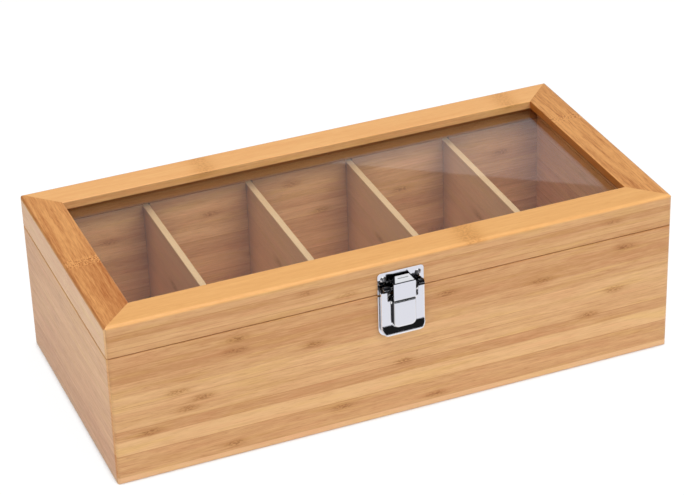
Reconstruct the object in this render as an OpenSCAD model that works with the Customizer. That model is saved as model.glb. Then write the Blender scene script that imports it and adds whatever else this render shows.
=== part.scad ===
/* [Box] */
// Length of the box, left to right
box_w = 335; // [260:1:420]
// Depth of the box, front to back
box_d = 160; // [130:1:220]
// Height of the closed box
box_h = 99.5; // [98:0.5:130]
// Height of the seam between body and lid
seam_z = 80; // [68:0.5:81.5]
// Thickness of the walls
wall_t = 10; // [9:0.5:14]
// Thickness of the bottom board
base_t = 4; // [3:0.5:8]
// Radius of the upright outer corners
corner_r = 2.3; // [1:0.1:4]
// Radius of the bottom outer edge
foot_r = 1.2; // [0.5:0.1:2.5]

/* [Dividers] */
// Thickness of each divider board
divider_t = 4; // [3:0.5:6]
// Depth of the divider grooves in the front and back walls
groove_d = 3; // [2:0.5:5]
// Height of the wall rim above the dividers
divider_drop = 1; // [0.5:0.5:6]
// Play of a divider in its grooves
divider_gap = 0.1; // [0.05:0.05:0.3]

/* [Lid] */
// Width of the lid frame seen from above
rail_w = 20; // [16:0.5:28]
// Thickness of the lip that covers the edge of the pane
lip_t = 5.5; // [4:0.5:7]
// Gap between lid and body
seam_gap = 0.15; // [0.1:0.05:0.4]
// Radius of the top outer edge of the lid
top_r = 2.5; // [1:0.1:3.5]
// Radius of the edges along the seam
seam_r = 0.9; // [0.3:0.1:1.5]
// Radius of the other handled edges
ease_r = 0.6; // [0.3:0.1:1]

/* [Glass] */
// Thickness of the pane
glass_t = 2; // [1.5:0.5:4]
// Depth to which the pane sits in the lid frame
glass_bite = 4; // [2:0.5:5]
// Play of the pane in its groove
glass_gap = 0.15; // [0.1:0.05:0.4]

/* [Latch] */
// Width of the latch plates
latch_w = 27.3; // [25:0.1:32]
// Thickness of the latch sheet
sheet_t = 0.8; // [0.6:0.1:1]
// Height of the keeper plate on the lid
keeper_h = 13; // [12.5:0.1:16]
// Height of the base plate on the body
base_plate_h = 25.7; // [24:0.1:34]
// Distance of each plate from the seam
plate_edge = 0.6; // [0.4:0.1:1]
// Radius of the lower latch corners
latch_corner_r = 5.2; // [2:0.1:6]
// Distance of the lever pin from the wall
pivot_out = 4.2; // [4:0.1:4.4]
// Height of the lever pin above the seam
pivot_up = 5; // [4.6:0.1:5.2]
// Radius of the lever pin
pivot_r = 0.9; // [0.7:0.1:1]
// Distance of the claw pin from the wall
claw_pin_out = 4.1; // [3.7:0.1:4.2]
// Height of the claw pin above the seam, below it where negative
claw_pin_up = -0.4; // [-0.6:0.1:0.2]
// Radius of the claw pin
claw_pin_r = 0.6; // [0.5:0.1:0.8]
// Radial play of a pin in what turns on it
pin_play = 0.05; // [0.02:0.01:0.1]
// Side play between the leaves of the latch
side_play = 0.25; // [0.15:0.05:0.3]
// Width of the lever cover
lever_w = 25.5; // [25:0.1:26.5]
// Distance of the lever face from the wall
lever_out = 3.6; // [3.2:0.1:4]
// Length of the lever below the seam
lever_drop = 25.4; // [23:0.1:33]
// Width of the claw and of the raised panel below it
claw_w = 13; // [12:0.1:13.4]
// Distance of the claw face from the wall
claw_out = 6.5; // [6.2:0.1:7]

/* [Hinges] */
// Distance of each hinge from the middle of the box
hinge_x = 100; // [60:1:115]
// Width of a hinge
hinge_w = 30; // [26:1:40]
// Reach of a leaf from the hinge pin
leaf_reach = 12; // [10:0.5:15]
// Thickness of a leaf
leaf_t = 1; // [0.8:0.1:1.2]
// Outer radius of the hinge knuckles
knuckle_r = 1.9; // [1.8:0.1:2.4]
// Radius of the hinge pin
hinge_pin_r = 1; // [0.7:0.1:1.1]

/* [Screws] */
// Radius of the screw heads
head_r = 1.9; // [1.5:0.1:2.1]
// Radius of the screw shanks
shank_r = 1; // [0.8:0.1:1.2]
// Length of the screws below their heads
screw_len = 6.5; // [5:0.5:6.5]
// Height of the domed heads on the latch screws
head_h = 1.1; // [0.8:0.1:1.4]

/* [Hidden] */
$fn = 48;

// Body and lid
divider_n = 4;
wall_h = seam_z - base_t;
lid_z = seam_z + seam_gap;
lid_h = box_h - lid_z;
inner_w = box_w - 2 * wall_t;
inner_d = box_d - 2 * wall_t;
cell_w = (inner_w - divider_n * divider_t) / (divider_n + 1);
cell_pitch = cell_w + divider_t;
groove_z = lid_h - lip_t - glass_t - glass_gap;

// Latch, measured outwards from the front wall and upwards from the seam
pivot = [pivot_out, pivot_up];
claw_pin_at = [claw_pin_out, claw_pin_up];
half_claw = claw_w / 2;
lever_ear_x = half_claw + side_play;
base_ear_x = lever_ear_x + sheet_t + side_play;
roll_x = base_ear_x + sheet_t + side_play;
roll_wall = 0.95;
pin_end = 0.2;
roll_end = lever_w / 2 - 0.8;
roll_r = pivot_r + pin_play + roll_wall;
base_ear_r = roll_r - 0.15;
ring_wall = 0.75;
ring_r = claw_pin_r + pin_play + ring_wall;
plate_nicks = [0.4, 0.4];
keeper_corner_r = 2;
keeper_top = plate_edge + keeper_h;

// Lever cover: the flare at its foot, the raised panel and the notch above the panel
flare_top = 7.2 - lever_drop;
flare_out = 1.4;
rim_r = 1.5;
tray_back = sheet_t + 0.2;
panel_low = 6.2 - lever_drop;
panel_corner_r = 3;
panel_spread = 0.3;
panel_crown = 0.35;
panel_ease_r = 0.7;
turn_clear = 0.2;
notch_clear = 0.1;
notch_z = claw_pin_up - (claw_out - claw_pin_out) - notch_clear;

// Claw, and the tongue under its hook
claw_foot = claw_pin_up - ring_r;
claw_mid = claw_out - sheet_t / 2;
foot_sweep_r = norm([claw_mid - claw_pin_out, ring_r]) + sheet_t / 2 + turn_clear;
hook_bend = keeper_top - 5;
hook_narrow = 2.1;
hook_top = keeper_top - 3;
hook_top_out = 2.4;
hook_end = keeper_top - 5.7;
hook_clear = 0.2;
hook_end_out = 1.5 * sheet_t + hook_clear;
tongue_root = pivot_up;
tongue_top = hook_top - 3.2;
tongue_out = pivot_out + 0.6;
tongue_bend = 0.5;
half_tongue = half_claw - 2.2;
window_low = tongue_root + 0.2;
window_top = hook_end + 1.8;
half_window = half_tongue + 0.3;

// Screws of the latch plates
keeper_screw_x = latch_w / 2 - 3.4;
keeper_screw_z = keeper_top - 4;
base_screw_x = latch_w / 2 - 3.9;
base_screw_zs = [-9, 5.8 - base_plate_h - plate_edge];
hole_r = shank_r + pin_play;

// Hinges, measured outwards from the back wall and upwards from the seam
knuckle_clear = 0.1;
hinge_out = knuckle_r + knuckle_clear;
hinge_z = seam_z + seam_gap / 2;
mid_knuckle = hinge_w / 3;
leaf_edge = knuckle_r + 0.15;
stop_t = 0.8;
stop_reach = knuckle_r + 1.2;
leaf_corner_r = 2;
sink_play = 0.05;
hinge_screw_x = hinge_w / 2 - 4.5;
hinge_screw_up = leaf_reach - 4.2;

// A rectangle from the origin with its four corners eased: lower left, lower right, upper right, upper left
module eased(w, h, r) {
    difference() {
        square([w, h]);
        ease_corner(0, 0, r[0], 1, 1);
        ease_corner(w, 0, r[1], -1, 1);
        ease_corner(w, h, r[2], -1, -1);
        ease_corner(0, h, r[3], 1, -1);
    }
}

module ease_corner(x, y, r, dx, dy) {
    if (r > 0)
        translate([x, y])
            difference() {
                translate([min(0, dx) * r, min(0, dy) * r]) square(r);
                translate([dx * r, dy * r]) circle(r);
            }
}

// A strip of sheet that follows a line of points, with rounded bends and a rounded far edge
module strip(points, t) {
    for (i = [0 : len(points) - 2]) {
        run = points[i + 1] - points[i];
        translate(points[i])
            rotate(atan2(run[1], run[0]))
                translate([0, -t / 2]) square([norm(run), t]);
    }
    for (i = [1 : len(points) - 1])
        translate(points[i]) circle(t / 2);
}

// One side of a mitred frame: the profile runs along it, x inwards from its outer face and y upwards
module mitred_side(turn, along, across, depth, tall) {
    rotate([0, 0, turn])
        intersection() {
            translate([-along / 2, -across / 2, 0])
                rotate([90, 0, 90]) linear_extrude(along) children();
            linear_extrude(tall)
                polygon([
                    [-along / 2, -across / 2], [along / 2, -across / 2],
                    [along / 2 - depth, depth - across / 2], [depth - along / 2, depth - across / 2]
                ]);
            linear_extrude(tall) plan(along, across);
        }
}

module plan(w, d) {
    translate([-w / 2, -d / 2]) eased(w, d, [corner_r, corner_r, corner_r, corner_r]);
}

// Walls of the body
module wall_profile() {
    eased(wall_t, wall_h, [0, 0, ease_r, seam_r]);
}

module wall(turn, along, across) {
    translate([0, 0, base_t]) mitred_side(turn, along, across, wall_t, wall_h) wall_profile();
}

module divider_grooves(face_y) {
    for (i = [1 : divider_n])
        translate([divider_x(i) - divider_gap, face_y, base_t])
            cube([divider_t + 2 * divider_gap, groove_d, wall_h + 1]);
}

function divider_x(i) = -inner_w / 2 + i * cell_pitch - divider_t;

module front_wall() {
    color("burlywood")
        difference() {
            wall(0, box_w, box_d);
            divider_grooves(-inner_d / 2 - groove_d);
            at_latch() base_screw_places() pilot_hole(-sheet_t);
        }
}

module back_wall() {
    color("burlywood")
        difference() {
            wall(180, box_w, box_d);
            divider_grooves(inner_d / 2);
            both_hinges() hinge_screw_places(-1) pilot_hole(-leaf_t);
        }
}

module left_wall() {
    color("burlywood") wall(-90, box_d, box_w);
}

module right_wall() {
    color("burlywood") wall(90, box_d, box_w);
}

module bottom_board() {
    color("wheat")
        intersection() {
            linear_extrude(base_t) plan(box_w, box_d);
            translate([-box_w / 2, -box_d / 2, 0])
                rotate([90, 0, 90]) linear_extrude(box_w) eased(box_d, base_t, [foot_r, foot_r, 0, 0]);
            translate([-box_w / 2, box_d / 2, 0])
                rotate([90, 0, 0]) linear_extrude(box_d) eased(box_w, base_t, [foot_r, foot_r, 0, 0]);
        }
}

// Thin boards that slide into grooves of the front and back walls
module divider(i) {
    long = inner_d + 2 * groove_d - 2 * divider_gap;
    color("tan")
        translate([divider_x(i), long / 2, base_t])
            rotate([90, 0, 0])
                linear_extrude(long)
                    eased(divider_t, wall_h - divider_drop, [0, 0, ease_r, ease_r]);
}

// Frame of the lid, with a lip over the pane and a groove that holds it
module rail_profile() {
    difference() {
        union() {
            eased(wall_t, lid_h, [seam_r, ease_r, 0, top_r]);
            translate([0, lid_h - lip_t])
                eased(rail_w, lip_t, [0, ease_r, ease_r, top_r]);
        }
        translate([wall_t - glass_bite - glass_gap, groove_z])
            square([glass_bite + glass_gap, glass_t + glass_gap]);
    }
}

module rail(turn, along, across) {
    translate([0, 0, lid_z]) mitred_side(turn, along, across, rail_w, lid_h) rail_profile();
}

module lid_front_rail() {
    color("sandybrown")
        difference() {
            rail(0, box_w, box_d);
            at_latch() keeper_screw_places() pilot_hole(-sheet_t);
        }
}

module lid_back_rail() {
    color("sandybrown")
        difference() {
            rail(180, box_w, box_d);
            both_hinges() hinge_screw_places(1) pilot_hole(-leaf_t);
        }
}

module lid_left_rail() {
    color("peru") rail(-90, box_d, box_w);
}

module lid_right_rail() {
    color("peru") rail(90, box_d, box_w);
}

module glass_pane() {
    pane_w = inner_w + 2 * glass_bite;
    pane_d = inner_d + 2 * glass_bite;
    color("lightcyan", 0.4)
        translate([-pane_w / 2, -pane_d / 2, lid_z + groove_z])
            cube([pane_w, pane_d, glass_t]);
}

// Screws, with their heads towards +Z and the seat of the head at the origin
module screw(head_low, head_high) {
    point_h = 2 * shank_r;
    point_r = 0.2 * shank_r;
    cross_reach = 0.6 * head_r;
    cross_half = 0.12 * head_r;
    cross_deep = 0.5;
    difference() {
        union() {
            if (head_high > 0)
                domed_head(head_high);
            if (head_low > 0)
                translate([0, 0, -head_low]) cylinder(h = head_low, r1 = shank_r, r2 = head_r);
            translate([0, 0, point_h - screw_len]) cylinder(h = screw_len - point_h, r = shank_r);
            translate([0, 0, -screw_len]) cylinder(h = point_h, r1 = point_r, r2 = shank_r);
        }
        for (turn = [0, 90])
            rotate([0, 0, turn])
                translate([-cross_reach, -cross_half, head_high - cross_deep])
                    cube([2 * cross_reach, 2 * cross_half, 2 * cross_deep]);
    }
}

module domed_head(high) {
    ball = (head_r * head_r + high * high) / (2 * high);
    intersection() {
        cylinder(h = high, r = head_r);
        translate([0, 0, high - ball]) sphere(ball, $fn = 96);
    }
}

// The hole in the wood for a screw whose head seats this far from the wood
module pilot_hole(seat) {
    translate([0, 0, seat - screw_len]) cylinder(h = screw_len, r = hole_r);
}

// Latch frame: x across, y into the wall and z up from the seam
module at_latch() {
    translate([0, -box_d / 2, seam_z]) children();
}

// Draws a side view, x outwards from the wall and y up, over a width across the latch
module side_view(x0, x1) {
    mirror([0, 1, 0]) translate([x0, 0, 0]) rotate([90, 0, 90]) linear_extrude(x1 - x0) children();
}

// Draws a front view, from one distance off the wall to another
module front_view(out0, out1) {
    translate([0, -out0, 0]) rotate([90, 0, 0]) linear_extrude(out1 - out0) children();
}

module cross_pin(at, r, half) {
    translate([-half, -at[0], at[1]]) rotate([0, 90, 0]) cylinder(h = 2 * half, r = r);
}

module both_sides() {
    children();
    mirror([1, 0, 0]) children();
}

module screw_seat(x, z) {
    translate([x, -sheet_t, z]) rotate([90, 0, 0]) children();
}

module keeper_screw_places() {
    for (side = [-1, 1])
        screw_seat(side * keeper_screw_x, keeper_screw_z) children();
}

module base_screw_places() {
    for (side = [-1, 1])
        for (z = base_screw_zs)
            screw_seat(side * base_screw_x, z) children();
}

module screw_clearance() {
    translate([0, 0, -2 * sheet_t]) cylinder(h = 3 * sheet_t, r = hole_r);
}

// Plate on the lid, with a tongue pressed out of its window
module keeper_plate() {
    tongue = [
        [sheet_t / 2, tongue_root], [sheet_t / 2 + tongue_bend, tongue_root + tongue_bend / 2],
        [tongue_out, tongue_top - tongue_bend], [tongue_out, tongue_top]
    ];
    color("silver")
        at_latch() {
            difference() {
                front_view(0, sheet_t)
                    translate([-latch_w / 2, plate_edge])
                        eased(latch_w, keeper_h, concat(plate_nicks, [keeper_corner_r, keeper_corner_r]));
                translate([-half_window, -2 * sheet_t, window_low])
                    cube([2 * half_window, 3 * sheet_t, window_top - window_low]);
                keeper_screw_places() screw_clearance();
            }
            side_view(-half_tongue, half_tongue) strip(tongue, sheet_t);
        }
}

module keeper_screws() {
    color("gainsboro") at_latch() keeper_screw_places() screw(0, head_h);
}

// Plate on the body, with two ears that carry the lever pin
module latch_base() {
    color("silver")
        at_latch() {
            difference() {
                front_view(0, sheet_t)
                    translate([-latch_w / 2, -plate_edge - base_plate_h])
                        eased(latch_w, base_plate_h, concat([latch_corner_r, latch_corner_r], plate_nicks));
                base_screw_places() screw_clearance();
            }
            both_sides()
                difference() {
                    side_view(base_ear_x, base_ear_x + sheet_t) base_ear();
                    cross_pin(pivot, pivot_r + pin_play, latch_w);
                }
        }
}

// Ear that rises from the base plate, passes in front of the keeper plate and rounds the lever pin
module base_ear() {
    ear_root = -5.2;
    keeper_clear = 0.4;
    polygon([
        [sheet_t / 2, ear_root], pivot + base_ear_r * [sin(57), -cos(57)], pivot, pivot - [base_ear_r, 0],
        [sheet_t + keeper_clear, plate_edge - keeper_clear], [sheet_t / 2, -plate_edge - 0.1]
    ]);
    translate(pivot) circle(base_ear_r);
}

module latch_base_screws() {
    color("gainsboro") at_latch() base_screw_places() screw(0, head_h);
}

// Pressed cover that turns on the lever pin and carries the claw pin
module latch_lever() {
    color("silver")
        at_latch()
            difference() {
                union() {
                    difference() {
                        union() {
                            lever_tray();
                            lever_panel();
                        }
                        lever_hollow();
                        translate([-roll_x, -claw_out - 1, notch_z])
                            cube([2 * roll_x, claw_out + 2, pivot_up + roll_r - notch_z]);
                        side_view(-roll_x, roll_x) ease_corner(claw_out, notch_z, panel_ease_r, -1, -1);
                    }
                    both_sides() {
                        side_view(roll_x, roll_end) translate(pivot) circle(roll_r);
                        side_view(lever_ear_x, lever_ear_x + sheet_t) lever_ear();
                    }
                }
                cross_pin(pivot, pivot_r + pin_play, lever_w);
                cross_pin(claw_pin_at, claw_pin_r + pin_play, roll_x);
                cross_pin(claw_pin_at, foot_sweep_r, half_claw + side_play / 2);
            }
}

// The cover's outside: a flat face that flares out to a rounded rim at its foot
module lever_tray() {
    rim = [lever_out + flare_out - rim_r, rim_r - lever_drop];
    intersection() {
        side_view(-lever_w / 2, lever_w / 2) {
            polygon([
                [tray_back, pivot_up], [lever_out, pivot_up], [lever_out, flare_top],
                rim + [rim_r, 0], rim - [0, rim_r], [tray_back, -lever_drop]
            ]);
            translate(rim) circle(rim_r);
        }
        front_view(0, claw_out)
            translate([-lever_w / 2, -lever_drop])
                eased(lever_w, lever_drop + pivot_up, [latch_corner_r, latch_corner_r, 0, 0]);
    }
}

// The cover's inside, one sheet thickness within its outside and open at the back
module lever_hollow() {
    deep = lever_out - sheet_t;
    hollow_w = lever_w - 2 * sheet_t;
    hollow_drop = lever_drop - sheet_t;
    hollow_r = latch_corner_r - sheet_t;
    hollow_top = pivot_up + 1;
    flare_deep = deep + flare_out - 0.35;
    intersection() {
        side_view(-hollow_w / 2, hollow_w / 2)
            polygon([
                [0, hollow_top], [deep, hollow_top], [deep, flare_top], [flare_deep, rim_r - lever_drop],
                [flare_deep - rim_r + sheet_t / 2, -hollow_drop], [0, -hollow_drop]
            ]);
        front_view(0, claw_out)
            translate([-hollow_w / 2, -hollow_drop])
                eased(hollow_w, hollow_drop + hollow_top, [hollow_r, hollow_r, 0, 0]);
    }
    front_view(0, claw_out - sheet_t) panel_outline(-sheet_t);
}

// Raised panel that lines up with the claw above it
module lever_panel() {
    hull() {
        front_view(lever_out - sheet_t, lever_out) panel_outline(panel_spread);
        front_view(claw_out - sheet_t, claw_out - panel_crown) panel_outline(0);
        front_view(claw_out - 0.1, claw_out) panel_outline(-panel_crown);
    }
}

module panel_outline(grow) {
    half = half_claw + grow;
    low = panel_low - grow;
    r = panel_corner_r + grow;
    translate([-half, low]) eased(2 * half, notch_z + sheet_t - low, [r, r, 0, 0]);
}

// Ear that hangs inside the panel's upper end and rounds the claw pin
module lever_ear() {
    ear_low = notch_z - 2.5;
    polygon([
        claw_pin_at - [ring_r, 0], [lever_out - sheet_t, ear_low],
        [lever_out, ear_low], claw_pin_at + [ring_r, 0]
    ]);
    translate(claw_pin_at) circle(ring_r);
}

module lever_pin() {
    color("gray") at_latch() cross_pin(pivot, pivot_r, roll_end + pin_end);
}

// Bent sheet that hooks over the tongue of the keeper plate
module latch_claw() {
    path = [
        [claw_pin_out, claw_foot], [claw_mid, claw_foot],
        [claw_mid, hook_bend], [hook_top_out, hook_top], [hook_end_out, hook_end]
    ];
    color("silver")
        at_latch()
            difference() {
                intersection() {
                    side_view(-half_claw, half_claw) {
                        strip(path, sheet_t);
                        translate(claw_pin_at) circle(ring_r);
                    }
                    front_view(0, claw_out + 1)
                        polygon([
                            [-half_claw, claw_foot - sheet_t], [half_claw, claw_foot - sheet_t],
                            [half_claw, hook_bend], [half_claw - hook_narrow, hook_top + sheet_t],
                            [hook_narrow - half_claw, hook_top + sheet_t], [-half_claw, hook_bend]
                        ]);
                }
                cross_pin(claw_pin_at, claw_pin_r + pin_play, claw_w);
            }
}

module claw_pin() {
    color("gray") at_latch() cross_pin(claw_pin_at, claw_pin_r, lever_ear_x + sheet_t);
}

// Hinge frame: x along the pin, y out of the back wall and z up, from the pin's own axis
module at_hinge(side) {
    translate([side * hinge_x, box_d / 2 + hinge_out, hinge_z]) children();
}

module both_hinges() {
    for (side = [-1, 1])
        at_hinge(side) children();
}

// Screws of one leaf: down on the body, up on the lid
module hinge_screw_places(way) {
    for (side = [-1, 1])
        translate([side * hinge_screw_x, leaf_t - hinge_out, way * hinge_screw_up])
            rotate([-90, 0, 0]) children();
}

module knuckle(x0, x1) {
    translate([x0, 0, 0]) rotate([0, 90, 0]) cylinder(h = x1 - x0, r = knuckle_r);
}

module pin_bore() {
    translate([-hinge_w, 0, 0]) rotate([0, 90, 0]) cylinder(h = 2 * hinge_w, r = hinge_pin_r + pin_play);
}

// Plate of a leaf, drawn upwards from the pin, with the children cut out of it beside the knuckles
module leaf_plate() {
    translate([-hinge_w / 2, leaf_t - hinge_out, 0])
        rotate([90, 0, 0])
            linear_extrude(leaf_t)
                difference() {
                    eased(hinge_w, leaf_reach, [0, 0, leaf_corner_r, leaf_corner_r]);
                    children();
                }
}

module leaf_holes(way) {
    hinge_screw_places(way) {
        translate([0, 0, -2 * leaf_t]) cylinder(h = 4 * leaf_t, r = hole_r);
        translate([0, 0, -leaf_t - sink_play])
            cylinder(h = leaf_t + 2 * sink_play, r1 = hole_r, r2 = head_r + 2 * sink_play);
    }
}

module body_leaf() {
    color("silver")
        difference() {
            union() {
                mirror([0, 0, 1])
                    leaf_plate()
                        translate([(hinge_w - mid_knuckle) / 2 - side_play / 2, -1])
                            square([mid_knuckle + side_play, leaf_edge + 1]);
                both_sides() knuckle(mid_knuckle / 2 + side_play / 2, hinge_w / 2);
            }
            pin_bore();
            leaf_holes(-1);
        }
}

// The middle knuckle carries a fin that meets the body leaf when the lid stands open
module lid_leaf() {
    color("silver")
        difference() {
            union() {
                leaf_plate()
                    for (x = [-1, hinge_w / 2 + mid_knuckle / 2 - side_play / 2])
                        translate([x, -1])
                            square([(hinge_w - mid_knuckle) / 2 + side_play / 2 + 1, leaf_edge + 1]);
                knuckle(side_play / 2 - mid_knuckle / 2, mid_knuckle / 2 - side_play / 2);
                translate([side_play / 2 - mid_knuckle / 2, 0, -stop_t / 2])
                    cube([mid_knuckle - side_play, stop_reach, stop_t]);
            }
            pin_bore();
            leaf_holes(1);
        }
}

module hinge_pin(side) {
    color("gray")
        at_hinge(side)
            translate([-hinge_w / 2, 0, 0]) rotate([0, 90, 0]) cylinder(h = hinge_w, r = hinge_pin_r);
}

module hinge_body_screws() {
    color("gainsboro") both_hinges() hinge_screw_places(-1) screw(leaf_t, 0);
}

module hinge_lid_screws() {
    color("gainsboro") both_hinges() hinge_screw_places(1) screw(leaf_t, 0);
}

front_wall();
back_wall();
left_wall();
right_wall();
bottom_board();
divider(1);  // divider_1
divider(2);  // divider_2
divider(3);  // divider_3
divider(4);  // divider_4
lid_front_rail();
lid_back_rail();
lid_left_rail();
lid_right_rail();
glass_pane();
keeper_plate();
keeper_screws();
latch_base();
latch_base_screws();
latch_lever();
lever_pin();
latch_claw();
claw_pin();
at_hinge(-1) body_leaf();  // hinge_left_body_leaf
at_hinge(-1) lid_leaf();  // hinge_left_lid_leaf
hinge_pin(-1);  // hinge_left_pin
at_hinge(1) body_leaf();  // hinge_right_body_leaf
at_hinge(1) lid_leaf();  // hinge_right_lid_leaf
hinge_pin(1);  // hinge_right_pin
hinge_body_screws();
hinge_lid_screws();
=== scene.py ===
import math

import bpy
from mathutils import Matrix, Vector

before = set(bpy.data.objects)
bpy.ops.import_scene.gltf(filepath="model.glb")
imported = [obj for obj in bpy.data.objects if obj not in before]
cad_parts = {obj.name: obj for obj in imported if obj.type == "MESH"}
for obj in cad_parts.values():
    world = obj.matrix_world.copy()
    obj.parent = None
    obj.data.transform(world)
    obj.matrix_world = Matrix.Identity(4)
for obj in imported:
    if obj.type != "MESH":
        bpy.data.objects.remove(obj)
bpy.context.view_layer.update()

# The view: a long lens looks down on the box from its front left corner, and leans a little.
# The camera stands free of the box, and its place is given in the box's own millimetres.
MM = 0.001
LENS_MM = 126.4
SENSOR_MM = 36
NEAREST_SEEN = 0.05
CAMERA_PLACE = Vector((-437.5, -1111, 756)) * MM
AZIMUTH = math.radians(-21.411)
ELEVATION = math.radians(30.061)
ROLL = math.radians(-1.96)

scene = bpy.context.scene
scene.view_settings.view_transform = "Standard"

backward = Vector((
    math.sin(AZIMUTH) * math.cos(ELEVATION),
    -math.cos(AZIMUTH) * math.cos(ELEVATION),
    math.sin(ELEVATION),
))
level_right = Vector((math.cos(AZIMUTH), math.sin(AZIMUTH), 0))
level_up = backward.cross(level_right)
right = level_right * math.cos(ROLL) + level_up * math.sin(ROLL)
up = level_up * math.cos(ROLL) - level_right * math.sin(ROLL)

lens = bpy.data.cameras.new("view")
lens.lens = LENS_MM
lens.sensor_width = SENSOR_MM
lens.sensor_fit = "HORIZONTAL"
lens.clip_start = NEAREST_SEEN
camera = bpy.data.objects.new("view", lens)
camera.matrix_world = Matrix.Translation(CAMERA_PLACE) @ Matrix((right, up, backward)).transposed().to_4x4()
scene.collection.objects.link(camera)
scene.camera = camera


# The studio: a white table in a plain white room, with soft lamps above and in front.
# Close to the foot of the box the table is shaded, because less light gets there.
def wire(tree, socket, value):
    """Sets a node's input to a number or colour, or links another node's output to it."""
    if isinstance(value, bpy.types.NodeSocket):
        tree.links.new(value, socket)
    else:
        socket.default_value = value


def node(tree, kind, inputs=(), **settings):
    made = tree.nodes.new(kind)
    for name, value in settings.items():
        setattr(made, name, value)
    for name, value in dict(inputs).items():
        wire(tree, made.inputs[name], value)
    return made


def maths(tree, operation, *values):
    made = tree.nodes.new("ShaderNodeMath")
    made.operation = operation
    for socket, value in zip(made.inputs, values):
        wire(tree, socket, value)
    return made.outputs[0]


def smooth_step(tree, value, low, high):
    """Rises smoothly from 0 at low to 1 at high, and falls where low is the greater one."""
    made = node(
        tree, "ShaderNodeMapRange", {"Value": value, "From Min": low, "From Max": high},
        interpolation_type="SMOOTHSTEP",
    )
    return made.outputs[0]


def blend_colours(tree, mode, share, first, second):
    """Mixes two colours. Inputs 6 and 7 and output 2 of the mix node are the ones for colours."""
    made = node(tree, "ShaderNodeMix", data_type="RGBA", blend_type=mode)
    wire(tree, made.inputs[0], share)
    wire(tree, made.inputs[6], first)
    wire(tree, made.inputs[7], second)
    return made.outputs[2]


def blend_shaders(tree, share, first, second):
    return node(tree, "ShaderNodeMixShader", {0: share, 1: first.outputs[0], 2: second.outputs[0]})


def empty_material(name):
    material = bpy.data.materials.new(name)
    material.use_nodes = True
    material.node_tree.nodes.clear()
    return material, material.node_tree


def show(tree, shader):
    node(tree, "ShaderNodeOutputMaterial", {"Surface": shader.outputs[0]})


def seen_directly(tree):
    """1 for what the camera sees by itself or through glass, 0 for light that is scattered."""
    path = node(tree, "ShaderNodeLightPath")
    return maths(tree, "MAXIMUM", path.outputs["Is Camera Ray"], path.outputs["Is Transmission Ray"])


def seen_in_mirrors(tree):
    return node(tree, "ShaderNodeLightPath").outputs["Is Glossy Ray"]


def stage_mesh(name, points, faces, material):
    mesh = bpy.data.meshes.new(name)
    mesh.from_pydata(points, [], faces)
    mesh.materials.append(material)
    made = bpy.data.objects.new(name, mesh)
    scene.collection.objects.link(made)
    return made


WHITE = (1, 1, 1, 1)
ROOM_LIGHT = 0.55
world = bpy.data.worlds.new("white room")
world.use_nodes = True
scene.world = world
room = world.node_tree
room.nodes.clear()
room_seen = maths(room, "MAXIMUM", seen_directly(room), seen_in_mirrors(room))
room_strength = maths(room, "MULTIPLY_ADD", room_seen, 1 - ROOM_LIGHT, ROOM_LIGHT)
room_light = node(room, "ShaderNodeBackground", {"Color": WHITE, "Strength": room_strength})
node(room, "ShaderNodeOutputWorld", {"Surface": room_light.outputs[0]})

TABLE_HALF = 6
TABLE_COLOUR = (0.9, 0.9, 0.9, 1)
TABLE_GLOW = 1.08
GLOW_SHARE = 0.85
CONTACT_REACH = 0.005
CONTACT_OPENNESS = 0.3, 0.75
# Painted reflection: in mirrors the table is a glow of these colours, brighter near the box, in place of the
# lit table.
TABLE_IN_MIRRORS = (0.82, 0.82, 0.88, 1)
NEAR_BOX_IN_MIRRORS = (1.1, 1.08, 1.05, 1)
NEAR_BOX_ENDS = 0.12, 0.17
MIRRORED_SHARE = 0.8

table_paint, tree = empty_material("white table")
table_glow = node(tree, "ShaderNodeEmission", {"Color": WHITE, "Strength": TABLE_GLOW})
table_lit = node(tree, "ShaderNodeBsdfDiffuse", {"Color": TABLE_COLOUR})
table_open = node(tree, "ShaderNodeAmbientOcclusion", {"Distance": CONTACT_REACH}, samples=8).outputs["AO"]
glow_share = maths(tree, "MULTIPLY", smooth_step(tree, table_open, *CONTACT_OPENNESS), GLOW_SHARE)
glow_share = maths(tree, "MULTIPLY", seen_directly(tree), glow_share)
table_seen = blend_shaders(tree, glow_share, table_lit, table_glow)
table_place = node(tree, "ShaderNodeTexCoord").outputs["Object"]
table_axes = node(tree, "ShaderNodeSeparateXYZ", {"Vector": table_place}).outputs
far_off = smooth_step(tree, maths(tree, "ABSOLUTE", table_axes["Y"]), *NEAR_BOX_ENDS)
mirrored = blend_colours(tree, "MIX", far_off, NEAR_BOX_IN_MIRRORS, TABLE_IN_MIRRORS)
mirrored_glow = node(tree, "ShaderNodeEmission", {"Color": mirrored, "Strength": 1.0})
mirrored_share = maths(tree, "MULTIPLY", seen_in_mirrors(tree), MIRRORED_SHARE)
show(tree, blend_shaders(tree, mirrored_share, table_seen, mirrored_glow))
table_corners = [(x * TABLE_HALF, y * TABLE_HALF, 0) for x, y in ((-1, -1), (1, -1), (1, 1), (-1, 1))]
stage_mesh("table", table_corners, [(0, 1, 2, 3)], table_paint)

LAMP_WATTS = 9
LAMP_AIM = Vector((0, 0, 0.05))


def lamp(name, place, size):
    light = bpy.data.lights.new(name, "AREA")
    light.shape = "RECTANGLE"
    light.size, light.size_y = size
    light.energy = LAMP_WATTS
    made = bpy.data.objects.new(name, light)
    made.location = place
    made.rotation_euler = (LAMP_AIM - Vector(place)).to_track_quat("-Z", "Y").to_euler()
    scene.collection.objects.link(made)
    return made


lamp("soft box above", place=(-0.2, -0.35, 1.5), size=(1.2, 0.9))
front_lamp = lamp("soft box in front", place=(0.5, -1.6, 0.9), size=(0.9, 0.9))

# The lamp in front is kept out of reflections, so that the open pane doesn't mirror it.
front_lamp.visible_glossy = False
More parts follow.
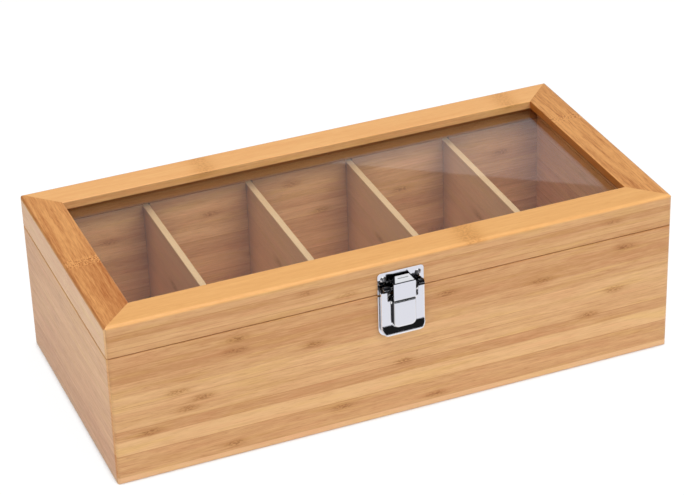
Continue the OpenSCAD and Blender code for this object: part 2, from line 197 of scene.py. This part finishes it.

# The tent: its skirt lies on the table round the box. Its wall glows black, but dark grey behind the box.
# A paler glowing card stands in it behind the box, and the pane mirrors the card's sloping upper edge.
# Only bright metal, lacquer and glass show them: they are painted reflections, glows that are no lamps.
TENT_SIDES = 48
TENT_SKIRT = 0.42
TENT_RADIUS = 2.2
TENT_FOOT = 0.001
TENT_TOP = 3.6
TENT_BLACK = 0.012
TENT_GREY = 0.30
GREY_PART = math.radians(-50), math.radians(85)
CARD_GREY = 0.60
CARD_CORNERS = (-0.6, 1.3, 0.002), (2.4, 1.3, 0.002), (2.4, 1.3, 1.42), (-0.6, 1.3, 0.455)
BLUER = 1.06


def in_mirrors_only(name, level):
    """A plain glow that only a mirror, lacquer or glass shows, as a painted reflection."""
    paint, tree = empty_material(name)
    glow = node(tree, "ShaderNodeEmission", {"Color": (level, level, level * BLUER, 1), "Strength": 1.0})
    unseen = node(tree, "ShaderNodeBsdfTransparent")
    mirrored = maths(tree, "MINIMUM", node(tree, "ShaderNodeLightPath").outputs["Glossy Depth"], 1)
    show(tree, blend_shaders(tree, mirrored, unseen, glow))
    return paint


def hide_from_all_but_mirrors(made):
    made.visible_camera = False
    made.visible_diffuse = False
    made.visible_shadow = False


def tent():
    rings = [(TENT_SKIRT, TENT_FOOT), (TENT_RADIUS, TENT_FOOT), (TENT_RADIUS, TENT_TOP)]
    points, faces, grey = [], [], []
    for i in range(TENT_SIDES):
        turn = 2 * math.pi * i / TENT_SIDES
        points += [(r * math.sin(turn), r * math.cos(turn), z) for r, z in rings]
        middle = (turn + math.pi / TENT_SIDES + math.pi) % (2 * math.pi) - math.pi
        after = (i + 1) % TENT_SIDES
        for k in range(2):
            is_wall = k == 1
            faces.append((3 * i + k, 3 * after + k, 3 * after + k + 1, 3 * i + k + 1))
            grey.append(is_wall and GREY_PART[0] < middle < GREY_PART[1])
    made = stage_mesh("tent", points, faces, in_mirrors_only("tent black", TENT_BLACK))
    made.data.materials.append(in_mirrors_only("tent grey", TENT_GREY))
    made.data.polygons.foreach_set("material_index", [int(g) for g in grey])
    return made


hide_from_all_but_mirrors(tent())
card = stage_mesh("card", CARD_CORNERS, [(0, 1, 2, 3)], in_mirrors_only("card grey", CARD_GREY))
hide_from_all_but_mirrors(card)


# The walls: bamboo boards 10 mm thick with mitred corners, glued up from strips that lie along the board.
# The strips differ in tone, and a darker, feathered knot shows where the cane had a joint.
# They have a satin lacquer, as all the bamboo of the box does.
def colour(red, green, blue):
    """A colour as it shows on a screen, 0 to 255, made linear."""
    return tuple((c / 255) ** 2.2 for c in (red, green, blue)) + (1,)


def point(tree, x, y, z):
    return node(tree, "ShaderNodeCombineXYZ", {"X": x, "Y": y, "Z": z}).outputs[0]


def swing(tree, value, amount, start):
    """Adds the value's swing about one half, times an amount, to a start."""
    return maths(tree, "MULTIPLY_ADD", maths(tree, "SUBTRACT", value, 0.5), amount, start)


def within(tree, value, low, high, soft=0.05):
    """1 where a place lies between two millimetre marks, with a soft edge."""
    rise = smooth_step(tree, value, (low - soft) * MM, (low + soft) * MM)
    fall = smooth_step(tree, value, (high + soft) * MM, (high - soft) * MM)
    return maths(tree, "MULTIPLY", rise, fall)


def tinted(tree, share, surface, tint):
    return blend_colours(tree, "MULTIPLY", share, surface, tint)


STRIP_SCALE_MM = 120
GLUE_LINE_MM = 0.35
GLUE_LINE_DARKER = 0.22


def strip_tones(tree, height, strips):
    """The tone of each strip, from the lowest up.

    strips are pairs of a strip's upper edge in millimetres and its tone, from 0 for light to 1 for dark.
    """
    share = maths(tree, "DIVIDE", height, STRIP_SCALE_MM * MM)
    ramp = node(tree, "ShaderNodeValToRGB", {"Fac": share})
    ramp.color_ramp.interpolation = "CONSTANT"
    stops = ramp.color_ramp.elements
    stops.remove(stops[1])
    low = 0.0
    for i, (edge, tone) in enumerate(strips):
        stop = stops[0] if i == 0 else stops.new(low / STRIP_SCALE_MM)
        stop.color = (tone, tone, tone, 1)
        if i < len(strips) - 1:
            line = stops.new((edge - GLUE_LINE_MM) / STRIP_SCALE_MM)
            darker = min(tone + GLUE_LINE_DARKER, 1)
            line.color = (darker, darker, darker, 1)
        low = edge
    return ramp.outputs["Color"]


JOINT_RAGGED = 0.003
JOINT_EDGE = 0.001
JOINT_BAND = 0.0065, 0.001
JOINT_FLECKS = 5.0
FLECK_OFFSET = -0.04


def joint_tone(tree, tone, u, streak, fleck, joint):
    """The tone with a cane joint across the strips.

    joint is the joint's place in millimetres, and how much darker the cane is before it than after.
    """
    joint_place, darker_before = joint
    past = swing(tree, streak, JOINT_RAGGED, maths(tree, "SUBTRACT", u, joint_place * MM))
    before = smooth_step(tree, past, JOINT_EDGE, -JOINT_EDGE)
    tone = maths(tree, "MULTIPLY_ADD", before, darker_before, tone)
    band = smooth_step(tree, maths(tree, "ABSOLUTE", past), *JOINT_BAND)
    flecks = maths(tree, "MULTIPLY", swing(tree, fleck, 1, FLECK_OFFSET), band)
    return maths(tree, "MULTIPLY_ADD", flecks, JOINT_FLECKS, tone)


KNOT_REACH = 0.0095, 0.0031
KNOT_WANDER = 0.8, 0.5
FAR_FROM_KNOTS = 9.0


def knot_distance(tree, u, v, knots, wander):
    """Distance from the nearest knot, 1 at a knot's edge. Knots are places in millimetres, along and up."""
    here_u, here_v = (
        swing(tree, wander, amount, maths(tree, "DIVIDE", place, reach))
        for place, reach, amount in zip((u, v), KNOT_REACH, KNOT_WANDER)
    )
    here = point(tree, here_u, here_v, 0)
    nearest = FAR_FROM_KNOTS
    for at_u, at_v in knots:
        away = node(tree, "ShaderNodeVectorMath", operation="DISTANCE")
        wire(tree, away.inputs[0], here)
        away.inputs[1].default_value = (at_u * MM / KNOT_REACH[0], at_v * MM / KNOT_REACH[1], 0)
        nearest = maths(tree, "MINIMUM", away.outputs["Value"], nearest)
    return nearest


SIDE_SOFT_MM = 0.5
PANE_FOOT = 92
PANE_LINE = 94, 94.8, 0.35
PANE_LINE_SHADOW = (0.32, 0.22, 0.12, 1)
SHELTER_REACH = 0.022
CORNER_SHADE_TINT = (0.40, 0.30, 0.24, 1)
UNDER_LIP = 0.066, 0.088


def inner_face(tree, wood, v, w, inner):
    """The wood with its inner side given a tint of painted light or shade, and painted shade in corners,
    under the lip and in a line above the pane.

    inner holds how far the side lies from the middle in millimetres, its painted tint, and the lip's painted
    shade or None.
    """
    reach, tint, lip_shade = inner
    from_middle = maths(tree, "ABSOLUTE", w)
    inwards = smooth_step(tree, from_middle, (reach + SIDE_SOFT_MM) * MM, (reach - SIDE_SOFT_MM) * MM)
    # Painted light and shade: the inner side takes a tint that makes up for how the light falls inside the
    # box.
    wood = tinted(tree, inwards, wood, tint)
    # Painted shadow: a thin dark line on the inner faces of the lip, just above the pane.
    painted_shadow_line = maths(tree, "MULTIPLY", inwards, within(tree, v, *PANE_LINE))
    wood = tinted(tree, painted_shadow_line, wood, PANE_LINE_SHADOW)
    below_pane = maths(tree, "MULTIPLY", inwards, within(tree, v, 0, PANE_FOOT))
    # Painted shade: below the pane the inner faces darken in corners and near other parts, by how enclosed
    # they are.
    open_sky = node(tree, "ShaderNodeAmbientOcclusion", {"Distance": SHELTER_REACH}, samples=6).outputs["AO"]
    painted_corner_shade = maths(tree, "MULTIPLY", maths(tree, "SUBTRACT", 1, open_sky), below_pane)
    wood = tinted(tree, painted_corner_shade, wood, CORNER_SHADE_TINT)
    # Painted shade: below the pane the inner faces darken towards the top, as under the lid's lip.
    if lip_shade:
        under_lip = maths(tree, "MULTIPLY", smooth_step(tree, v, *UNDER_LIP), below_pane)
        wood = tinted(tree, under_lip, wood, lip_shade)
    return wood


# Each pattern in the cane: its length along and width across the strips in millimetres, its shift,
# and the detail and roughness of its noise.
DRIFT = 75, 4, 0, 3, 0.6
TINGE = 45, 5, 7, 2, 0.5
STREAK = 20, 1, 3, 4, 0.65
FIBRE = 6.5, 0.55, 5, 2, 0.6
FLECK = 1.6, 0.7, 9, 1, 0.5
DRIFT_DEPTH = 1.0
STREAK_DEPTH = 1.2
FIBRE_DEPTH = 0.8
STRIP_SHIFT = 37.0

# The tints of the wood, each with the two values between which it comes in.
YELLOWER = (0.98, 1, 0.80, 1)
YELLOW_TINGE = 0.5, 0.68
REDDER = (1, 0.92, 0.93, 1)
RED_TINGE = 0.5, 0.32
TINGE_DEPTH = 0.6
END_GRAIN = (0.80, 0.66, 0.50, 1)
FACING_ENDWAYS = 0.8, 0.95
FACING_UP = 0.3, 0.75
ARRIS_BELOW = 0.1, 0.4
ARRIS_ABOVE = 0.95, 0.7
SEAM_SHADE = (0.74, 0.60, 0.46, 1)
SEAM_MARKS = 79.85, 80.3, 0.15
PORE_TINT = (0.76, 0.66, 0.50, 1)
PORE_FIBRES = 0.62, 0.76
PORE_DEPTH = 0.4
HALO_TINT = (0.80, 0.70, 0.52, 1)
HALO_REACH = 1.4, 0.2
HALO_DEPTH = 0.6
HEART_TINT = (0.66, 0.55, 0.38, 1)
HEART_REACH = 0.9, 0.1
HEART_FLECKS = 0.38, 0.64

# The lacquer follows the fibres a little, and is raised over the heart of a knot.
LACQUER_ROUGH = 0.30
FIBRE_ROUGH = 0.15
LACQUER_IOR = 1.5
HEART_RAISED = 0.5
RELIEF_STRENGTH = 0.12
FIBRE_HEIGHT = 0.0004


def bamboo(
    name, tones, along, strips, knots=(), *, seed, grain=1.0, top=None, inner=None, joint=None,
    knot_depth=1.0, arris=None,
):
    """Bamboo strips along X or Y, between a light and a dark tone.

    top is another light and dark tone for faces that look up, their own colour on some pieces and painted
    light on others, and inner is what inner_face takes.
    joint is what joint_tone takes, and arris is a tint for the rounded edges between a top and its sides.
    """
    material, tree = empty_material(name)
    coordinates = node(tree, "ShaderNodeTexCoord").outputs
    axes = node(tree, "ShaderNodeSeparateXYZ", {"Vector": coordinates["Object"]}).outputs
    normal = node(tree, "ShaderNodeSeparateXYZ", {"Vector": coordinates["Normal"]}).outputs
    u = axes[along]
    v = axes["Z"]
    w = axes["Y" if along == "X" else "X"]

    strip = strip_tones(tree, v, strips)
    apart = maths(tree, "MULTIPLY_ADD", strip, STRIP_SHIFT, seed)

    def pattern(long_mm, wide_mm, shift, detail, roughness):
        far = maths(tree, "MULTIPLY_ADD", u, 1 / (long_mm * MM), maths(tree, "ADD", apart, shift))
        high, deep = (maths(tree, "DIVIDE", place, wide_mm * MM) for place in (v, w))
        drawn_out = point(tree, far, high, deep)
        made = node(tree, "ShaderNodeTexNoise", {
            "Vector": drawn_out, "Scale": 1.0, "Detail": detail, "Roughness": roughness,
        })
        return made.outputs["Fac"]

    drift = pattern(*DRIFT)
    tinge = pattern(*TINGE)
    streak = pattern(*STREAK)
    fibre = pattern(*FIBRE)
    fleck = pattern(*FLECK)

    tone = swing(tree, drift, DRIFT_DEPTH * grain, strip)
    tone = swing(tree, streak, STREAK_DEPTH * grain, tone)
    tone = swing(tree, fibre, FIBRE_DEPTH * grain, tone)
    if joint:
        tone = joint_tone(tree, tone, u, streak, fleck, joint)
    tone = node(tree, "ShaderNodeClamp", {"Value": tone}).outputs[0]
    wood = blend_colours(tree, "MIX", tone, *tones)
    yellower = maths(tree, "MULTIPLY", smooth_step(tree, tinge, *YELLOW_TINGE), TINGE_DEPTH)
    wood = tinted(tree, yellower, wood, YELLOWER)
    redder = maths(tree, "MULTIPLY", smooth_step(tree, tinge, *RED_TINGE), TINGE_DEPTH)
    wood = tinted(tree, redder, wood, REDDER)
    endways = smooth_step(tree, maths(tree, "ABSOLUTE", normal[along]), *FACING_ENDWAYS)
    wood = tinted(tree, endways, wood, END_GRAIN)
    if inner:
        wood = inner_face(tree, wood, v, w, inner)
    if top:
        facing_up = smooth_step(tree, normal["Z"], *FACING_UP)
        wood = blend_colours(tree, "MIX", facing_up, wood, blend_colours(tree, "MIX", tone, *top))
    if arris:
        sloping = smooth_step(tree, normal["Z"], *ARRIS_BELOW)
        sloping = maths(tree, "MULTIPLY", sloping, smooth_step(tree, normal["Z"], *ARRIS_ABOVE))
        wood = tinted(tree, sloping, wood, arris)

    # Painted shade: a dark band along the seam between the lid and the body.
    wood = tinted(tree, within(tree, v, *SEAM_MARKS), wood, SEAM_SHADE)
    pores = maths(tree, "MULTIPLY", smooth_step(tree, fibre, *PORE_FIBRES), PORE_DEPTH * grain)
    wood = tinted(tree, pores, wood, PORE_TINT)
    raised = fibre
    if knots:
        distance = knot_distance(tree, u, v, knots, streak)
        halo = maths(tree, "MULTIPLY", smooth_step(tree, distance, *HALO_REACH), HALO_DEPTH * knot_depth)
        wood = tinted(tree, halo, wood, HALO_TINT)
        heart = maths(tree, "MULTIPLY", smooth_step(tree, distance, *HEART_REACH), knot_depth)
        heart = maths(tree, "MULTIPLY", heart, smooth_step(tree, fleck, *HEART_FLECKS))
        wood = tinted(tree, heart, wood, HEART_TINT)
        raised = maths(tree, "MULTIPLY_ADD", heart, HEART_RAISED, fibre)

    rough = maths(tree, "MULTIPLY_ADD", fibre, FIBRE_ROUGH, LACQUER_ROUGH)
    relief = node(tree, "ShaderNodeBump", {
        "Height": raised, "Strength": RELIEF_STRENGTH, "Distance": FIBRE_HEIGHT,
    })
    show(tree, node(tree, "ShaderNodeBsdfPrincipled", {
        "Base Color": wood, "Roughness": rough, "IOR": LACQUER_IOR, "Normal": relief.outputs["Normal"],
    }))
    return material


SHARP_FROM = math.radians(40)


def dress(nodes, material, edge=None):
    """Gives CAD pieces their finish, and softens their sharp edges where edge is a radius in metres."""
    for name in nodes:
        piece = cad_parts[name]
        piece.data.materials.clear()
        piece.data.materials.append(material)
        if edge:
            soft = piece.modifiers.new("softened edges", "BEVEL")
            soft.width = edge
            soft.segments = 2
            soft.limit_method = "ANGLE"
            soft.angle_limit = SHARP_FROM
            soft.harden_normals = True


CANE = colour(229, 182, 128), colour(194, 138, 88)
# Painted shade: LIP_SHADE darkens the upper inner faces, as under the lid's lip.
LIP_SHADE = (0.44, 0.39, 0.36, 1)
# Painted light: the inside tint lightens the inner faces of the walls, to make up for the dimmer light inside
# the box.
INSIDE_PAINTED_LIGHT = (1.24, 1.30, 1.34, 1)
LONG_INSIDE = 74, INSIDE_PAINTED_LIGHT, LIP_SHADE
FRONT_STRIPS = (
    (17.5, 0.66), (26.5, 0.14), (33, 0.78), (38.5, 0.40), (41.5, 0.52), (47.5, 0.42), (54.5, 0.28),
    (63, 0.62), (72.5, 0.88), (100, 0.70),
)
FRONT_KNOTS = (
    (-95, 74), (-96, 67), (-51, 59), (-130, 50), (-116, 43), (-125, 38), (-147, 29), (-36, 14), (-100, 8),
    (28, 71), (1, 34), (20, 7), (86, 64), (138, 73), (132, 47), (116, 34),
)
front_wood = bamboo("bamboo front wall", CANE, "X", FRONT_STRIPS, FRONT_KNOTS, seed=3.0, inner=LONG_INSIDE)
dress(["front_wall"], front_wood)

BACK_STRIPS = (14, 0.3), (25, 0.62), (37, 0.4), (48, 0.66), (56, 0.3), (67, 0.58), (100, 0.4)
BACK_KNOTS = (
    (-120, 60), (-57, 64), (13, 50), (-6, 72), (65, 52), (132, 62), (-140, 20), (-30, 31), (88, 18),
    (120, 42),
)
back_wood = bamboo("bamboo back wall", CANE, "X", BACK_STRIPS, BACK_KNOTS, seed=11.0, inner=LONG_INSIDE)
dress(["back_wall"], back_wood)

END_CANE = colour(246, 190, 130), colour(192, 122, 60)
END_INSIDE = 152, INSIDE_PAINTED_LIGHT, None
END_STRIPS = (19, 0.74), (31, 0.56), (42, 0.52), (53, 0.44), (64, 0.34), (72, 0.40), (100, 0.32)
END_KNOTS = (-38, 25), (22, 48), (8, 70)
end_wood = bamboo(
    "bamboo end wall", END_CANE, "Y", END_STRIPS, END_KNOTS, seed=6.0, grain=0.65, inner=END_INSIDE,
    knot_depth=0.4,
)
dress(["left_wall", "right_wall"], end_wood)

# The bottom: one pale bamboo board 4 mm thick, glued under the walls over the whole footprint.
# Its edge shows as a lighter strip all round the foot of the box.
BOTTOM_EDGE = colour(238, 192, 144), colour(214, 162, 110)
# Painted light: the board's top, inside the box, is painted lighter than its edge, to make up for the dimmer
# light inside.
BOTTOM_TOP_AS_LIT = colour(248, 208, 160), colour(230, 182, 132)
BOTTOM_STRIPS = ((100, 0.4),)
bottom_wood = bamboo("bamboo bottom", BOTTOM_EDGE, "X", BOTTOM_STRIPS, seed=8.0, grain=0.6, top=BOTTOM_TOP_AS_LIT)
dress(["bottom_board"], bottom_wood)

# The dividers: four thin bamboo boards that slide down into grooves of the front and back walls.
# Their faces are painted paler than the walls, as painted light for the dimmer inside of the box, and their
# top edges paler still, as a painted highlight.
DIVIDER_FACE = colour(242, 196, 146), colour(213, 164, 115)
DIVIDER_TOP_HIGHLIGHT = colour(252, 214, 162), colour(238, 194, 144)
DIVIDER_STRIPS = (22, 0.55), (41, 0.4), (60, 0.6), (100, 0.45)
DIVIDER_KNOTS = (20, 52), (-30, 30)
# Painted shade: through inner_face the dividers darken in corners and near other parts.
ALL_INSIDE = 1000, WHITE, None
divider_wood = bamboo(
    "bamboo divider", DIVIDER_FACE, "Y", DIVIDER_STRIPS, DIVIDER_KNOTS, seed=5.0, grain=0.6,
    top=DIVIDER_TOP_HIGHLIGHT, inner=ALL_INSIDE,
)
dress([f"divider_{i}" for i in range(1, 5)], divider_wood)

# The lid: four mitred rails round the pane. The long ones are cut from pale cane with a fine grain.
# The short ones show the darker skin side of the cane on top, with open fibres and a cane joint across.
LONG_STRIPS = (84, 0.66), (87, 0.46), (90, 0.6), (93.5, 0.86), (120, 0.5)
# Painted light: the inner faces of the long rails are tinted a little lighter.
LONG_INNER = 75, (1.14, 1.16, 1.10, 1), LIP_SHADE
# Painted light: the tops of the long rails are given lighter, warmer tones than their sides, as lit from
# above.
FRONT_TOP_AS_LIT = colour(248, 189, 118), colour(228, 161, 92)
FRONT_RAIL_KNOTS = (-55, 92), (-31, 85), (45, 99.5), (130, 91)
front_rail = bamboo(
    "bamboo front rail", CANE, "X", LONG_STRIPS, FRONT_RAIL_KNOTS, seed=1.0, grain=0.8, top=FRONT_TOP_AS_LIT,
    inner=LONG_INNER, knot_depth=0.6,
)
# Painted light: the back rail's top is lighter than the front one's, to make up for less light reaching the
# back.
BACK_TOP_AS_LIT = colour(254, 196, 128), colour(240, 170, 104)
BACK_RAIL_KNOTS = (-61, 99), (134, 99)
back_rail = bamboo(
    "bamboo back rail", CANE, "X", LONG_STRIPS, BACK_RAIL_KNOTS, seed=4.0, grain=0.8, top=BACK_TOP_AS_LIT,
    inner=LONG_INNER, knot_depth=0.5,
)
SHORT_SIDE = colour(250, 200, 147), colour(230, 174, 120)
SHORT_STRIPS = (89, 0.4), (120, 0.3)
# Painted shade: the inner faces of the short rails are tinted a deep golden brown, as they lie in shade.
SHORT_INNER = 155, (0.58, 0.32, 0.10, 1), None
SHORT_ARRIS = (0.80, 0.66, 0.46, 1)
LEFT_TOP = colour(234, 166, 98), colour(172, 93, 34)
LEFT_JOINT = -9, 0.20
left_rail = bamboo(
    "bamboo left rail", SHORT_SIDE, "Y", SHORT_STRIPS, seed=2.0, grain=1.3, top=LEFT_TOP,
    inner=SHORT_INNER, joint=LEFT_JOINT, arris=SHORT_ARRIS,
)
RIGHT_TOP = colour(233, 166, 98), colour(170, 96, 38)
RIGHT_JOINT = 31, -0.1
right_rail = bamboo(
    "bamboo right rail", SHORT_SIDE, "Y", SHORT_STRIPS, seed=7.0, grain=1.6, top=RIGHT_TOP,
    inner=SHORT_INNER, joint=RIGHT_JOINT, arris=SHORT_ARRIS,
)
dress(["lid_front_rail"], front_rail)
dress(["lid_back_rail"], back_rail)
dress(["lid_left_rail"], left_rail)
dress(["lid_right_rail"], right_rail)

# The pane: clear float glass, 2 mm thick, held in a groove of the lid frame.
# Light from the lamps passes through it, so that the inside of the box is lit.
GLASS_TINT = (0.99, 0.995, 0.99, 1)
GLASS_LETS_THROUGH = (0.98, 0.985, 0.98, 1)
GLASS_IOR = 1.5
glass, tree = empty_material("clear glass")
clear = node(tree, "ShaderNodeBsdfPrincipled", {
    "Base Color": GLASS_TINT, "Roughness": 0.0, "IOR": GLASS_IOR, "Transmission Weight": 1.0,
})
let_through = node(tree, "ShaderNodeBsdfTransparent", {"Color": GLASS_LETS_THROUGH})
path = node(tree, "ShaderNodeLightPath")
scattered = maths(tree, "MAXIMUM", path.outputs["Is Shadow Ray"], path.outputs["Is Diffuse Ray"])
show(tree, blend_shaders(tree, scattered, clear, let_through))
dress(["glass_pane"], glass)

# The latch: plates, lever and claw pressed from thin steel sheet and plated with bright chrome.
# Its plates are held by domed cross-recess screws, and the lever and claw turn on small steel pins.
BRIGHT_CHROME = (0.86, 0.87, 0.9, 1)
SCREW_CHROME = (0.78, 0.77, 0.78, 1)
PLAIN_STEEL = (0.3, 0.3, 0.3, 1)
HAZE_SCALE = 900.0


def metal(name, tint, rough, scratches):
    material, tree = empty_material(name)
    place = node(tree, "ShaderNodeTexCoord").outputs["Object"]
    haze = node(tree, "ShaderNodeTexNoise", {"Vector": place, "Scale": HAZE_SCALE, "Detail": 3.0})
    roughness = maths(tree, "MULTIPLY_ADD", haze.outputs["Fac"], scratches, rough)
    show(tree, node(tree, "ShaderNodeBsdfPrincipled", {
        "Base Color": tint, "Metallic": 1.0, "Roughness": roughness,
    }))
    return material


# Painted shade and painted dark reflections: the chrome is painted near black and made duller on the inside
# of a pressing, and in parts round the claw, in the rolls and beside the panel.
# Marks are in millimetres: across from the latch's middle, outwards from the wall, upwards from the seam.
FRONT_FACE = 80 * MM
SEAM = 80 * MM
BEYOND = 100
ROLLS_FROM = 8.7
PAINTED_SHADE_CHROME = (0.02, 0.02, 0.024, 1)
CHROME_ROUGH = 0.03
INSIDE_ROUGHER = 0.3
FACING_SIDEWAYS = 0.6, 0.9
FACING_THE_WALL = 0.3, 0.7


def region(tree, place, share=1, **marks):
    """The share where the place lies between each axis's two marks, and 0 elsewhere.

    A third mark is the softness of the edge.
    """
    for axis, limits in marks.items():
        share = maths(tree, "MULTIPLY", share, within(tree, place[axis], *limits))
    return share


def pressed_chrome(name, dark_parts, rim_mm):
    """Bright chrome, painted near black and duller on the inside of a pressing and in its dark parts, as
    painted shade and dark reflections.
    """
    material, tree = empty_material(name)
    coordinates = node(tree, "ShaderNodeTexCoord").outputs
    axes = node(tree, "ShaderNodeSeparateXYZ", {"Vector": coordinates["Object"]}).outputs
    facing = node(tree, "ShaderNodeSeparateXYZ", {"Vector": coordinates["Normal"]}).outputs
    place = {
        "across": maths(tree, "ABSOLUTE", axes["X"]),
        "outwards": maths(tree, "MULTIPLY_ADD", axes["Y"], -1.0, -FRONT_FACE),
        "upwards": maths(tree, "SUBTRACT", axes["Z"], SEAM),
    }
    sideways = smooth_step(tree, maths(tree, "ABSOLUTE", facing["X"]), *FACING_SIDEWAYS)
    to_the_wall = smooth_step(tree, facing["Y"], *FACING_THE_WALL)
    dark = region(tree, place, to_the_wall, across=(-BEYOND, ROLLS_FROM))
    for part in dark_parts(tree, place, sideways):
        dark = maths(tree, "MAXIMUM", dark, part)
    tint = blend_colours(tree, "MIX", dark, BRIGHT_CHROME, PAINTED_SHADE_CHROME)
    roughness = maths(tree, "MULTIPLY_ADD", dark, INSIDE_ROUGHER, CHROME_ROUGH)
    rim = node(tree, "ShaderNodeBevel", {"Radius": rim_mm * MM}, samples=6)
    show(tree, node(tree, "ShaderNodeBsdfPrincipled", {
        "Base Color": tint, "Metallic": 1.0, "Roughness": roughness, "Normal": rim.outputs[0],
    }))
    return material


def lever_parts(tree, place, sideways):
    panel_sides = region(tree, place, sideways, across=(-BEYOND, 7.6))
    foot_of_walls = region(tree, place, sideways, outwards=(-BEYOND, 1.9))
    ears = region(tree, place, across=(-BEYOND, ROLLS_FROM), upwards=(-2.6, BEYOND))
    # A strip across each roll is left bright, as a painted glint.
    no_glint = maths(tree, "SUBTRACT", 1, region(tree, place, upwards=(5.3, 5.9)))
    rolls = region(tree, place, no_glint, across=(ROLLS_FROM, BEYOND), upwards=(2.6, 6.9, 0.15))
    panel_top = region(tree, place, share=0.25, across=(-BEYOND, 6.7), upwards=(-3.3, -2.7))
    beside_panel = region(tree, place, across=(6, 7.3), outwards=(-BEYOND, 3.8), upwards=(-17, BEYOND))
    return panel_sides, foot_of_walls, ears, rolls, panel_top, beside_panel


HOOK_BEND = 8.6
HOOK_TAPER = 0.75


def claw_parts(tree, place, sideways):
    bend_line = region(tree, place, upwards=(8.3, 8.65))
    hook_top = region(tree, place, share=0.14, upwards=(8.7, BEYOND))
    mark = region(tree, place, share=0.6, upwards=(10.0, 10.35), across=(-BEYOND, 3.2, 0.4))
    past_bend = maths(tree, "SUBTRACT", place["upwards"], HOOK_BEND * MM)
    tapered = {**place, "across": maths(tree, "MULTIPLY_ADD", past_bend, HOOK_TAPER, place["across"])}
    hook_sides = region(tree, tapered, across=(5.9, BEYOND), upwards=(8.8, BEYOND))
    return sideways, bend_line, hook_top, mark, hook_sides


def base_parts(tree, place, sideways):
    ears = region(tree, place, outwards=(1.1, BEYOND))
    return maths(tree, "MULTIPLY", ears, sideways), region(tree, place, ears, upwards=(2.0, BEYOND))


PLATE_EDGE = 0.12 * MM
chrome = metal("bright chrome", BRIGHT_CHROME, rough=CHROME_ROUGH, scratches=0.03)
screw_chrome = metal("screw chrome", SCREW_CHROME, rough=0.38, scratches=0.1)
pin_steel = metal("pin steel", PLAIN_STEEL, rough=0.25, scratches=0.15)
dress(["keeper_plate"], chrome, edge=PLATE_EDGE)
dress(["latch_base"], pressed_chrome("chrome of the base", base_parts, rim_mm=0.3), edge=PLATE_EDGE)
dress(["latch_lever"], pressed_chrome("chrome of the lever", lever_parts, rim_mm=1.1))
dress(["latch_claw"], pressed_chrome("chrome of the claw", claw_parts, rim_mm=0.3))
dress(["keeper_screws", "latch_base_screws"], screw_chrome)
dress(["lever_pin", "claw_pin"], pin_steel)

# The hinges: two small butt hinges in nickel-plated steel, screwed to the back with countersunk screws.
# Each has a leaf on the body, a leaf on the lid and a pin through both.
NICKEL = (0.72, 0.7, 0.66, 1)
nickel = metal("nickel plate", NICKEL, rough=0.22, scratches=0.15)
for side in ("left", "right"):
    dress([f"hinge_{side}_body_leaf", f"hinge_{side}_lid_leaf"], nickel, edge=PLATE_EDGE)
    dress([f"hinge_{side}_pin"], pin_steel)
dress(["hinge_body_screws", "hinge_lid_screws"], nickel)
